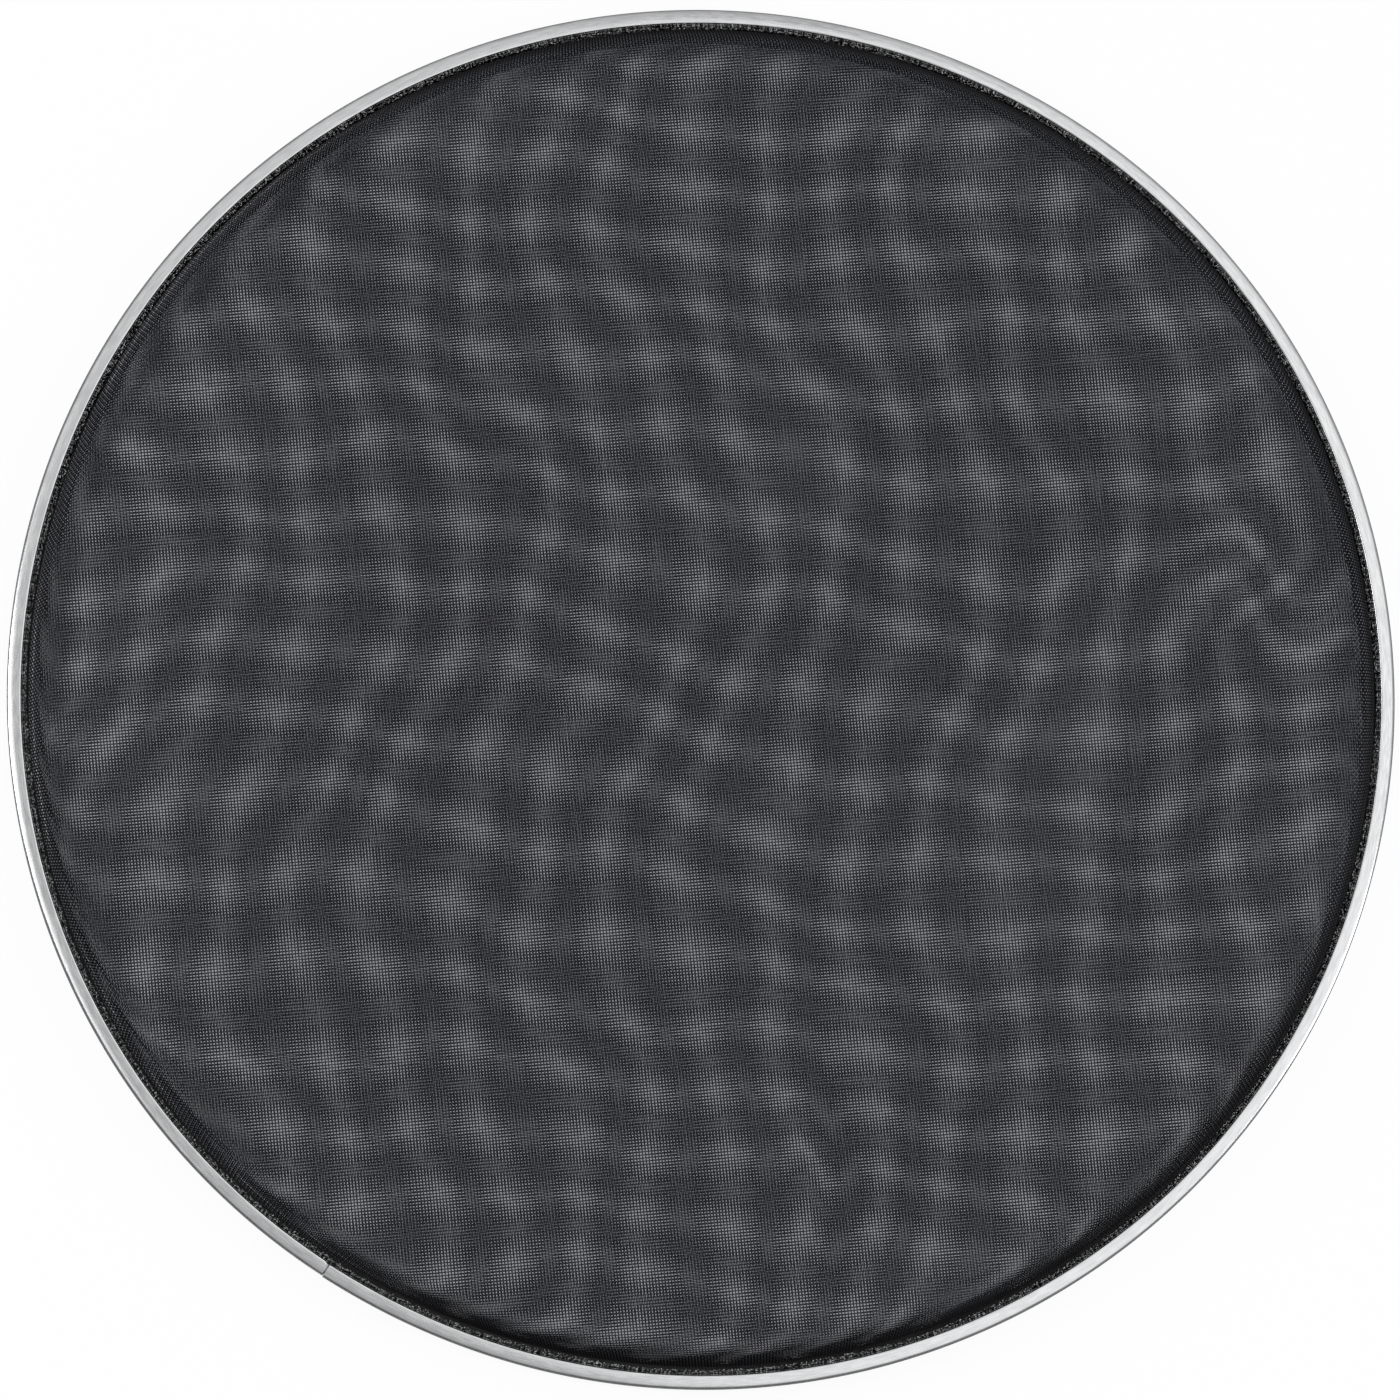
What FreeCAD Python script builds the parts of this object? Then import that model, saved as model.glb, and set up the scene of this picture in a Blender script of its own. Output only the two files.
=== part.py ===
# A mesh drum head for quiet practice, for a 14 inch drum. Two sheets of woven mesh are stretched
# over a collar, wrapped round a core wire and glued into the groove of an aluminium hoop. The hoop
# is a strip, roll-formed to an S-shaped section, whose two ends meet in a butt joint over a key.
# Units are millimetres and degrees. +Z points up, out of the playing face. The origin is on the
# hoop's axis, in the plane that the hoop rests on.

import FreeCAD, Part
import math
import os
from enum import IntEnum

import Sketcher
from FreeCAD import Vector

# Driving dimensions. Heights count from the plane that the hoop rests on.
SIZES = {
    # Drum shell that the head goes over, and the hoop's room round it
    "shell_diameter": 355.6,
    "shell_clearance": 0.8,
    # Aluminium strip of the hoop, with the inside radius of its bends
    "strip_thickness": 0.7,
    "strip_bend_radius": 0.15,
    # Hoop: full height, top band from the groove to the outer face, and how far its lip stays below
    "hoop_height": 9.5,
    "band_width": 4.2,
    "lip_drop": 1.0,
    # Butt joint: gap between the strip's ends, its bearing from +X, and the key that bridges it
    "joint_gap": 0.4,
    "joint_bearing": 237.1,
    "key_length": 40.0,
    "key_height": 6.5,
    "key_clearance": 0.1,
    # Wire that the mesh is wrapped round
    "wire_diameter": 0.8,
    "wire_clearance": 0.15,
    # Sheets of mesh, the room between the two, and the room between the wrap and the groove
    "ply_thickness": 0.25,
    "ply_clearance": 0.1,
    "groove_clearance": 0.1,
    # Openwork of the sheets: a net that is as open as the weave and coarser, with the spacing and
    # width of its bars, the whole border inside the hoop's bore, and the lower net's slide
    "bar_spacing": 26.7,
    "bar_width": 12.0,
    "net_border": 18.0,
    "lower_net_slide": 5.5,
    # Collar of the upper sheet: rise of the playing face above the hoop, slope from level, radii of
    # its two bends, and the height above the hoop at which it leaves the groove's straight wall
    "collar_height": 9.0,
    "collar_slope": 62.0,
    "collar_bend_radius": 7.0,
    "collar_root_radius": 2.0,
    "collar_root_rise": 0.4,
    # Depth of the mesh's cut edge and of the adhesive below the hoop's top
    "tail_drop": 0.3,
    "adhesive_drop": 3.0,
    "adhesive_clearance": 0.1,
}

# Radii and heights that follow from the driving dimensions, as expressions on the sheet
BORE_RADIUS = "(Sizes.shell_diameter / 2 + Sizes.shell_clearance)"
WRAP_WIDTH = ("(Sizes.wire_diameter + 2 * Sizes.wire_clearance + 4 * Sizes.ply_thickness"
              " + 2 * Sizes.ply_clearance)")
GROOVE_INNER = f"({BORE_RADIUS} + Sizes.strip_thickness)"
GROOVE_OUTER = f"({GROOVE_INNER} + {WRAP_WIDTH} + 2 * Sizes.groove_clearance)"
HOOP_RADIUS = f"({GROOVE_OUTER} + Sizes.band_width)"
STRIP_OUTER_BEND = "(Sizes.strip_bend_radius + Sizes.strip_thickness)"
LIP_TOP = "(Sizes.hoop_height - Sizes.lip_drop)"
WIRE_RING = f"({GROOVE_INNER} + Sizes.groove_clearance + {WRAP_WIDTH} / 2)"
WIRE_HEIGHT = f"(Sizes.strip_thickness + Sizes.groove_clearance + {WRAP_WIDTH} / 2)"
WIRE_SEAT = "(Sizes.wire_diameter / 2 + Sizes.wire_clearance)"
FULL_TURN = "360"
UPPER_PLY_SHIFT = "0"
LOWER_PLY_SHIFT = "(Sizes.ply_thickness + Sizes.ply_clearance)"
NET_RADIUS = f"({BORE_RADIUS} - Sizes.net_border)"
UPPER_NET_SLIDE = "0"
LOWER_NET_SLIDE = "Sizes.lower_net_slide"

# Headings in a section are in radians from its x, anticlockwise
OUTWARD = 0.0
UPWARD = math.pi / 2
QUARTER = math.pi / 2
HALF = math.pi


class At(IntEnum):
    """Points of a sketch's line or arc, as a constraint numbers them."""

    START = 1
    END = 2
    CENTRE = 3


class Axis(IntEnum):
    """A sketch's own axes, as a constraint numbers them."""

    LEVEL = -1
    UPRIGHT = -2


class Side(IntEnum):
    """Side of a strip's heading on which its material lies."""

    LEFT = 1
    RIGHT = -1


def make_sheet(doc):
    """Make the sheet of driving dimensions, one alias for each."""
    sheet = doc.addObject("Spreadsheet::Sheet", "Sizes")
    for row, (alias, number) in enumerate(SIZES.items(), start=1):
        sheet.set(f"A{row}", alias)
        sheet.set(f"B{row}", str(number))
        sheet.setAlias(f"B{row}", alias)
    doc.recompute()
    return sheet


doc = FreeCAD.newDocument("drum_head")
sheet = make_sheet(doc)


def value(expression):
    """Work out an expression on the sheet as a plain number."""
    return float(sheet.evalExpression(expression))


def make_body(label):
    """Make an empty body with the given label."""
    body = doc.addObject("PartDesign::Body", label)
    body.Label = label
    return body


def plane_sketch(body, role, purpose):
    """Make a sketch in the origin plane of the body that has the given role."""
    sketch = body.newObject("Sketcher::SketchObject", f"{body.Label}_{purpose}")
    plane = next(item for item in body.Origin.OriginFeatures if item.Role == role)
    sketch.AttachmentSupport = [(plane, "")]
    sketch.MapMode = "FlatFace"
    return sketch


def section_sketch(body):
    """Make a sketch in the body's XZ plane: its x is the radius and its y is the height."""
    return plane_sketch(body, "XZ_Plane", "section")


def bind(sketch, kind, places, expression):
    """Add a dimension to a sketch and tie it to the sheet. An angle is in degrees on the sheet."""
    number = value(expression)
    first = math.radians(number) if kind == "Angle" else number
    index = sketch.addConstraint(Sketcher.Constraint(kind, *places, first))
    sketch.setExpression(f"Constraints[{index}]", expression)


def square_kind(heading):
    """Name the constraint of a level or upright heading, or give None for a slanted one."""
    if math.isclose(math.sin(heading), 0, abs_tol=1e-9):
        return "Horizontal"
    if math.isclose(math.cos(heading), 0, abs_tol=1e-9):
        return "Vertical"
    return None


def hold_square(sketch, line, heading):
    """Hold a line level or upright, as its heading is."""
    sketch.addConstraint(Sketcher.Constraint(square_kind(heading), line))


def revolve(body, sketch, angle):
    """Turn a section about the vertical axis, to half the angle on each side of the sketch."""
    turn = body.newObject("PartDesign::Revolution", f"{body.Label}_turn")
    turn.Profile = sketch
    turn.ReferenceAxis = (sketch, ["V_Axis"])
    turn.Midplane = True
    turn.setExpression("Angle", angle)
    doc.recompute()
    return turn


class Strip:
    """Section of even thickness: straight runs that round bends join, in one closed outline.

    The strip is drawn along its face, and its back runs alongside at the strip's thickness.
    face and back list the lines of the runs, face_bends and back_bends the arcs between them.
    """

    def __init__(self, sketch, start, heading, side, thickness):
        """Start a strip at a point of its face, with its material on one side of the heading."""
        self.sketch = sketch
        self.place = Vector(*start, 0)
        self.heading = heading
        self.side = side
        self.thickness = thickness
        self.headings = []
        self.turns = []
        self.face = []
        self.back = []
        self.face_bends = []
        self.back_bends = []

    def _direction(self, angle):
        """Unit vector at an angle from the sketch's x."""
        return Vector(math.cos(angle), math.sin(angle), 0)

    def run(self, length):
        """Draw a straight run."""
        end = self.place + self._direction(self.heading) * length
        shift = self._direction(self.heading + QUARTER) * (self.side * self.thickness)
        self.face.append(self.sketch.addGeometry(Part.LineSegment(self.place, end)))
        self.back.append(self.sketch.addGeometry(Part.LineSegment(self.place + shift, end + shift)))
        self.headings.append(self.heading)
        self.place = end

    def bend(self, turn, radius):
        """Draw a bend. turn is positive to the left, and radius is that of the strip's face."""
        hand = math.copysign(1, turn)
        towards = self.heading + hand * QUARTER
        centre = self.place + self._direction(towards) * radius
        entry = towards + HALF
        first, last = sorted((entry, entry + turn))
        back_radius = radius - hand * self.side * self.thickness
        for bends, bend_radius in ((self.face_bends, radius), (self.back_bends, back_radius)):
            circle = Part.Circle(centre, Vector(0, 0, 1), bend_radius)
            arc = Part.ArcOfCircle(circle, first, last)
            bends.append(self.sketch.addGeometry(arc))
        self.place = centre + self._direction(entry + turn) * radius
        self.heading += turn
        self.turns.append(turn)

    def close(self):
        """Cap both ends, and hold the runs square and parallel and the bends tangent."""
        lines = self.sketch.Geometry
        first = Part.LineSegment(lines[self.back[0]].StartPoint, lines[self.face[0]].StartPoint)
        last = Part.LineSegment(lines[self.face[-1]].EndPoint, lines[self.back[-1]].EndPoint)
        self.first_cap = self.sketch.addGeometry(first)
        self.last_cap = self.sketch.addGeometry(last)
        rules = [
            Sketcher.Constraint("Coincident", self.first_cap, At.START, self.back[0], At.START),
            Sketcher.Constraint("Coincident", self.first_cap, At.END, self.face[0], At.START),
            Sketcher.Constraint("Coincident", self.last_cap, At.START, self.face[-1], At.END),
            Sketcher.Constraint("Coincident", self.last_cap, At.END, self.back[-1], At.END),
        ]
        for number, turn in enumerate(self.turns):
            enter, leave = (At.START, At.END) if turn > 0 else (At.END, At.START)
            for runs, bends in ((self.face, self.face_bends), (self.back, self.back_bends)):
                rules.append(Sketcher.Constraint("Tangent", runs[number], At.END, bends[number], enter))
                rules.append(Sketcher.Constraint("Tangent", bends[number], leave,
                                                 runs[number + 1], At.START))
            rules.append(Sketcher.Constraint("Coincident", self.face_bends[number], At.CENTRE,
                                             self.back_bends[number], At.CENTRE))
        self.sketch.addConstraint(rules)
        for face, back, heading in zip(self.face, self.back, self.headings):
            if square_kind(heading):
                hold_square(self.sketch, face, heading)
                hold_square(self.sketch, back, heading)
            else:
                self.sketch.addConstraint(Sketcher.Constraint("Parallel", face, back))
        hold_square(self.sketch, self.first_cap, self.headings[0] + QUARTER)
        hold_square(self.sketch, self.last_cap, self.headings[-1] + QUARTER)

    def bind_thickness(self, expression):
        """Tie the strip's thickness to the sheet, across its first cap."""
        across = "DistanceX" if square_kind(self.headings[0]) == "Vertical" else "DistanceY"
        bind(self.sketch, across, (self.first_cap, At.START, self.first_cap, At.END), expression)

    def bind_height(self, run, expression):
        """Tie the height of a level run's face to the sheet."""
        bind(self.sketch, "DistanceY", (self.face[run], At.START), expression)

    def bind_radius(self, run, expression):
        """Tie the distance of an upright run's face from the axis to the sheet."""
        bind(self.sketch, "DistanceX", (self.face[run], At.START), expression)

    def bind_bend(self, bend, expression):
        """Tie the radius of a bend's face to the sheet."""
        bind(self.sketch, "Radius", (self.face_bends[bend],), expression)

    def bind_end(self, expression):
        """Tie the height of an upright strip's last end to the sheet."""
        bind(self.sketch, "DistanceY", (self.face[-1], At.END), expression)


def hoop():
    """Roll-formed hoop: outer wall, top band, groove wall, groove floor and inner lip in one strip."""
    body = make_body("hoop")
    sketch = section_sketch(body)
    outer = value(HOOP_RADIUS)
    bend_outside = value(STRIP_OUTER_BEND)
    bend_inside = value("Sizes.strip_bend_radius")
    thickness = value("Sizes.strip_thickness")
    top = value("Sizes.hoop_height")
    groove_width = value(f"{GROOVE_OUTER} - {GROOVE_INNER}")
    strip = Strip(sketch, (outer, 0), UPWARD, Side.LEFT, thickness)
    strip.run(top - bend_outside)
    strip.bend(QUARTER, bend_outside)
    strip.run(value("Sizes.band_width") - 2 * bend_outside)
    strip.bend(QUARTER, bend_outside)
    strip.run(top - bend_outside - bend_inside - thickness)
    strip.bend(-QUARTER, bend_inside)
    strip.run(groove_width - 2 * bend_inside)
    strip.bend(-QUARTER, bend_inside)
    strip.run(value(LIP_TOP) - thickness - bend_inside)
    strip.close()
    outer_wall, band, groove_wall, groove_floor, lip = range(len(strip.face))
    strip.bind_thickness("Sizes.strip_thickness")
    on_base = Sketcher.Constraint("PointOnObject", strip.face[outer_wall], At.START, Axis.LEVEL)
    sketch.addConstraint(on_base)
    strip.bind_radius(outer_wall, HOOP_RADIUS)
    strip.bind_height(band, "Sizes.hoop_height")
    strip.bind_radius(groove_wall, GROOVE_OUTER)
    strip.bind_height(groove_floor, "Sizes.strip_thickness")
    strip.bind_radius(lip, GROOVE_INNER)
    strip.bind_end(LIP_TOP)
    for bend, turn in enumerate(strip.turns):
        strip.bind_bend(bend, STRIP_OUTER_BEND if turn > 0 else "Sizes.strip_bend_radius")
    gap_angle = f"Sizes.joint_gap / {HOOP_RADIUS} * 180 / pi"
    revolve(body, sketch, f"{FULL_TURN} - {gap_angle}")
    face_joint(body, "+ 180")
    return body


def face_joint(body, half_turn=""):
    """Turn a body about the vertical axis so that it faces the butt joint."""
    body.Placement = FreeCAD.Placement(Vector(), FreeCAD.Rotation(Vector(0, 0, 1), 1))
    body.setExpression("Placement.Rotation.Angle", f"Sizes.joint_bearing {half_turn}")


def draw_rectangle(sketch, left, right, bottom, top):
    """Draw a rectangle between two places along each axis of a sketch, each an expression."""
    corners = [(left, bottom), (right, bottom), (right, top), (left, top)]
    points = [Vector(value(along), value(up), 0) for along, up in corners]
    lines = []
    for number, point in enumerate(points):
        following = points[(number + 1) % len(points)]
        lines.append(sketch.addGeometry(Part.LineSegment(point, following)))
    for number, line in enumerate(lines):
        following = lines[(number + 1) % len(lines)]
        sketch.addConstraint(Sketcher.Constraint("Coincident", line, At.END, following, At.START))
        hold_square(sketch, line, number * QUARTER)
    low_side, right_side, high_side, left_side = lines
    bind(sketch, "DistanceX", (left_side, At.START), left)
    bind(sketch, "DistanceX", (right_side, At.START), right)
    bind(sketch, "DistanceY", (low_side, At.START), bottom)
    bind(sketch, "DistanceY", (high_side, At.START), top)


def ring_section(body, inner, outer, bottom, top):
    """Draw an upright rectangle between two radii and two heights, each an expression."""
    sketch = section_sketch(body)
    draw_rectangle(sketch, inner, outer, bottom, top)
    return sketch


def joint_key():
    """Bar in the hoop's underside channel that bridges the butt joint, with its long edges rounded."""
    body = make_body("joint_key")
    inner = f"{GROOVE_OUTER} + Sizes.strip_thickness + Sizes.key_clearance"
    outer = f"{HOOP_RADIUS} - Sizes.strip_thickness - Sizes.key_clearance"
    top = "Sizes.hoop_height - Sizes.strip_thickness - Sizes.key_clearance"
    sketch = ring_section(body, inner, outer, f"{top} - Sizes.key_height", top)
    mean_radius = f"(({inner} + {outer}) / 2)"
    bar = revolve(body, sketch, f"Sizes.key_length / {mean_radius} * 180 / pi")
    rounds = body.newObject("PartDesign::Fillet", "joint_key_rounds")
    long_edges = [f"Edge{number}" for number, edge in enumerate(bar.Shape.Edges, start=1)
                  if isinstance(edge.Curve, Part.Circle)]
    rounds.Base = (bar, long_edges)
    rounds.setExpression("Radius", "Sizes.strip_bend_radius")
    face_joint(body)
    return body


def core_wire():
    """Closed ring of wire at the bottom of the groove."""
    wire = doc.addObject("Part::Torus", "core_wire")
    wire.Label = "core_wire"
    wire.setExpression("Radius1", WIRE_RING)
    wire.setExpression("Radius2", "Sizes.wire_diameter / 2")
    wire.setExpression("Placement.Base.z", WIRE_HEIGHT)
    return wire


def gap_edges(number, slide):
    """Expressions for the two edges of a numbered gap. Gap 0 is the first past the middle bar."""
    near = f"({slide} + ({number}) * Sizes.bar_spacing + Sizes.bar_width / 2)"
    far = f"({slide} + ({number} + 1) * Sizes.bar_spacing - Sizes.bar_width / 2)"
    return near, far


def gaps_beside(offset):
    """Expression for the whole gaps on each side of the middle bar, at an offset from the middle."""
    half_chord = f"sqrt({NET_RADIUS} ^ 2 - {offset} ^ 2)"
    return f"floor(({half_chord} + Sizes.bar_width / 2) / Sizes.bar_spacing)"


def cut_net(body, slide):
    """Cut the gaps of a net into a playing face, two rows at a time from the middle bar outwards.

    slide is how far the net lies off the middle along both of its directions.
    """
    whole = body.Shape.Volume
    gap_volume = value("(Sizes.bar_spacing - Sizes.bar_width) ^ 2 * Sizes.ply_thickness")
    gaps = 0
    for row in range(int(value(gaps_beside("0")))):
        beside = gaps_beside(gap_edges(row, "0")[1])
        if value(beside) < 1:
            break
        sketch = plane_sketch(body, "XY_Plane", f"gap_{row}_outline")
        left, right = gap_edges(f"-{beside}", slide)
        for number in (row, -1 - row):
            draw_rectangle(sketch, left, right, *gap_edges(number, slide))
        gap = body.newObject("PartDesign::Pocket", f"{body.Label}_gap_{row}")
        gap.Profile = sketch
        gap.Type = "ThroughAll"
        gap.Reversed = True
        pattern = body.newObject("PartDesign::LinearPattern", f"{body.Label}_row_{row}")
        pattern.Originals = [gap]
        pattern.Direction = (sketch, ["H_Axis"])
        pattern.setExpression("Length", f"(2 * {beside} - 1) * Sizes.bar_spacing")
        pattern.setExpression("Occurrences", f"2 * {beside}")
        body.Tip = pattern
        gaps += int(4 * value(beside))
        doc.recompute()
    if not math.isclose(whole - body.Shape.Volume, gaps * gap_volume, rel_tol=1e-6):
        raise RuntimeError(f"{body.Label}: the net is not cut as drawn")


def mesh_ply(label, shift, slide):
    """Sheet of mesh: playing face, collar, leg into the groove, wrap round the wire, and cut tail.

    shift is how far the sheet lies behind the upper one, measured square to the sheets, and slide
    is how far its net lies off the middle.
    """
    body = make_body(label)
    sketch = section_sketch(body)
    slope = math.radians(value("Sizes.collar_slope"))
    playing_height = f"Sizes.hoop_height + Sizes.collar_height - {shift}"
    collar_bend = f"Sizes.collar_bend_radius - {shift}"
    root_bend = f"Sizes.collar_root_radius - {shift}"
    root_height = "(Sizes.hoop_height + Sizes.collar_root_rise)"
    seat = f"({WIRE_SEAT} + {shift})"
    leg_radius = f"{WIRE_RING} - {seat}"
    tail_top = "Sizes.hoop_height - Sizes.tail_drop"
    root_turn = QUARTER - slope
    root_width = value(root_bend) * (1 - math.cos(root_turn))
    root_drop = value(root_bend) * math.sin(root_turn)
    bend_width = value(collar_bend) * math.sin(slope)
    bend_drop = value(collar_bend) * (1 - math.cos(slope))
    slope_drop = value(f"{playing_height} - {root_height}") - bend_drop - root_drop
    slope_width = slope_drop / math.tan(slope)
    flat_radius = value(leg_radius) - root_width - slope_width - bend_width
    thickness = value("Sizes.ply_thickness")
    strip = Strip(sketch, (0, value(playing_height)), OUTWARD, Side.RIGHT, thickness)
    strip.run(flat_radius)
    strip.bend(-slope, value(collar_bend))
    strip.run(math.hypot(slope_drop, slope_width))
    strip.bend(-root_turn, value(root_bend))
    strip.run(value(f"{root_height} - {WIRE_HEIGHT}"))
    strip.bend(HALF, value(seat))
    strip.run(value(f"{tail_top} - {WIRE_HEIGHT}"))
    strip.close()
    playing_face, collar, leg = range(3)
    at_collar, at_root, at_wire = range(3)
    strip.bind_thickness("Sizes.ply_thickness")
    on_axis = Sketcher.Constraint("PointOnObject", strip.face[playing_face], At.START, Axis.UPRIGHT)
    sketch.addConstraint(on_axis)
    strip.bind_height(playing_face, playing_height)
    bind(sketch, "Angle", (strip.face[collar],), "-Sizes.collar_slope")
    strip.bind_radius(leg, leg_radius)
    strip.bind_bend(at_collar, collar_bend)
    strip.bind_bend(at_root, root_bend)
    strip.bind_height(leg, root_height)
    bind(sketch, "DistanceX", (strip.face_bends[at_wire], At.CENTRE), WIRE_RING)
    bind(sketch, "DistanceY", (strip.face_bends[at_wire], At.CENTRE), WIRE_HEIGHT)
    strip.bind_end(tail_top)
    revolve(body, sketch, FULL_TURN)
    cut_net(body, slide)
    return body


def adhesive_bead():
    """Ring of adhesive over the wire, between the upper sheet's leg and its tail."""
    body = make_body("adhesive_bead")
    reach = f"({WIRE_SEAT} - Sizes.adhesive_clearance)"
    bottom = f"{WIRE_HEIGHT} + Sizes.wire_diameter / 2 + Sizes.adhesive_clearance"
    top = "Sizes.hoop_height - Sizes.adhesive_drop"
    sketch = ring_section(body, f"{WIRE_RING} - {reach}", f"{WIRE_RING} + {reach}", bottom, top)
    revolve(body, sketch, FULL_TURN)
    return body


def check(pieces):
    """Stop if any object of the document failed, or a piece has no valid solid."""
    for item in doc.Objects:
        failures = {"Invalid", "Error"} & set(item.State)
        if failures:
            raise RuntimeError(f"{item.Label}: {failures}")
    for piece in pieces:
        shape = piece.Shape
        if shape.isNull() or not shape.isValid() or not shape.Solids:
            raise RuntimeError(f"{piece.Label} has no valid solid")


def export(pieces):
    """Write each piece to its own STEP file."""
    os.makedirs("parts", exist_ok=True)
    for piece in pieces:
        piece.Shape.exportStep(f"parts/{piece.Label}.step")


pieces = [
    hoop(),
    joint_key(),
    core_wire(),
    mesh_ply("upper_ply", UPPER_PLY_SHIFT, UPPER_NET_SLIDE),
    mesh_ply("lower_ply", LOWER_PLY_SHIFT, LOWER_NET_SLIDE),
    adhesive_bead(),
]
doc.recompute()
check(pieces)
export(pieces)
for piece in pieces:
    box = piece.Shape.BoundBox
    print(f"{piece.Label}: {piece.Shape.Volume:.0f} mm3, heights {box.ZMin:.2f} to {box.ZMax:.2f},"
          f" width {box.XLength:.2f}")
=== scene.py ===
"""Dresses a two-ply mesh drum head: its woven mesh, roll-formed hoop, frayed cut edge and studio."""

import logging
import math
from dataclasses import dataclass, field
from enum import Enum
from typing import Iterable, Optional, Union

import bmesh
import bpy
import numpy as np
from mathutils import Matrix, Vector


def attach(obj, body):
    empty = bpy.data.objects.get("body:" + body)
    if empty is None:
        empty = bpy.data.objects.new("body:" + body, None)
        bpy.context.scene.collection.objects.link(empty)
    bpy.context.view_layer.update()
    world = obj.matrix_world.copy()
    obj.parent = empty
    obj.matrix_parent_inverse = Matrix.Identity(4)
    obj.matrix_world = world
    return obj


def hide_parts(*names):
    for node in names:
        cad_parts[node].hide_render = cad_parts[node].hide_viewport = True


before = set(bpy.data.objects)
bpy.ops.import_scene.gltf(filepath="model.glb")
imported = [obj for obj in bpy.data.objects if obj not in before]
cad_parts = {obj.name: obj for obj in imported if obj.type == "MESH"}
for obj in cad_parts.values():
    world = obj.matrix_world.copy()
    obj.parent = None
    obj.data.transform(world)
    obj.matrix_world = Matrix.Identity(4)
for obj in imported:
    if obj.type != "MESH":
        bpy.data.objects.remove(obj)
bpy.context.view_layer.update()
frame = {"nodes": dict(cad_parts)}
BODY = "root"
MM = 0.001
ON_PLANE = 1e-7
WHITE = (1.0, 1.0, 1.0, 1.0)
BAKE_MAP = "OFBake"
BAKE_MARGIN = 1.01
CLOTH = "cloth"
SHADE = "shade"
THREAD_SIDES = 3
# The corners of a thread's section, as shares of its width and of its height.
CORNERS_ASIDE = np.array([-0.5, 0.5, 0.0])
CORNERS_LIFT = np.array([-1.0, -1.0, 2.0]) / 3.0

log = logging.getLogger("drum_head")

Number = Union[float, "Port"]
Colour = tuple[float, float, float]
Place = tuple[float, float, float]
Limits = tuple[float, float]
Value = Union[float, tuple, Vector, "Port"]


class Port:
    """A shader value whose arithmetic adds Math nodes to its tree."""

    def __init__(self, tree: "ShaderTree", socket: bpy.types.NodeSocket) -> None:
        """Keeps the socket and the tree that it belongs to."""
        self.tree = tree
        self.socket = socket

    def math(self, operation: str, *others: Number) -> "Port":
        """Runs this value, and any others, through one Math node.

        Args:
            operation: The Math node's operation.
            others: The node's further inputs.

        Returns:
            The node's result.
        """
        inputs = dict(enumerate((self, *others)))
        return self.tree.node("ShaderNodeMath", {"operation": operation}, inputs)

    def __add__(self, other: Number) -> "Port":
        """Adds a value."""
        return self.math("ADD", other)

    def __sub__(self, other: Number) -> "Port":
        """Takes a value away."""
        return self.math("SUBTRACT", other)

    def __rsub__(self, other: Number) -> "Port":
        """Takes this value away from a number."""
        return self.tree.node("ShaderNodeMath", {"operation": "SUBTRACT"}, {0: other, 1: self})

    def __mul__(self, other: Number) -> "Port":
        """Multiplies by a value."""
        return self.math("MULTIPLY", other)

    def __truediv__(self, other: Number) -> "Port":
        """Divides by a value."""
        return self.math("DIVIDE", other)

    def __pow__(self, other: Number) -> "Port":
        """Raises to a power."""
        return self.math("POWER", other)

    __radd__ = __add__
    __rmul__ = __mul__

    def ramp(self, low: float, high: float, start: float = 0.0, end: float = 1.0) -> "Port":
        """Maps a range of this value smoothly to another range.

        Args:
            low: The value that gives start.
            high: The value that gives end.
            start: The result at low.
            end: The result at high.

        Returns:
            The mapped value.
        """
        settings = {"interpolation_type": "SMOOTHSTEP"}
        return self.tree.node("ShaderNodeMapRange", settings, {0: self, 1: low, 2: high, 3: start, 4: end})


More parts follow.
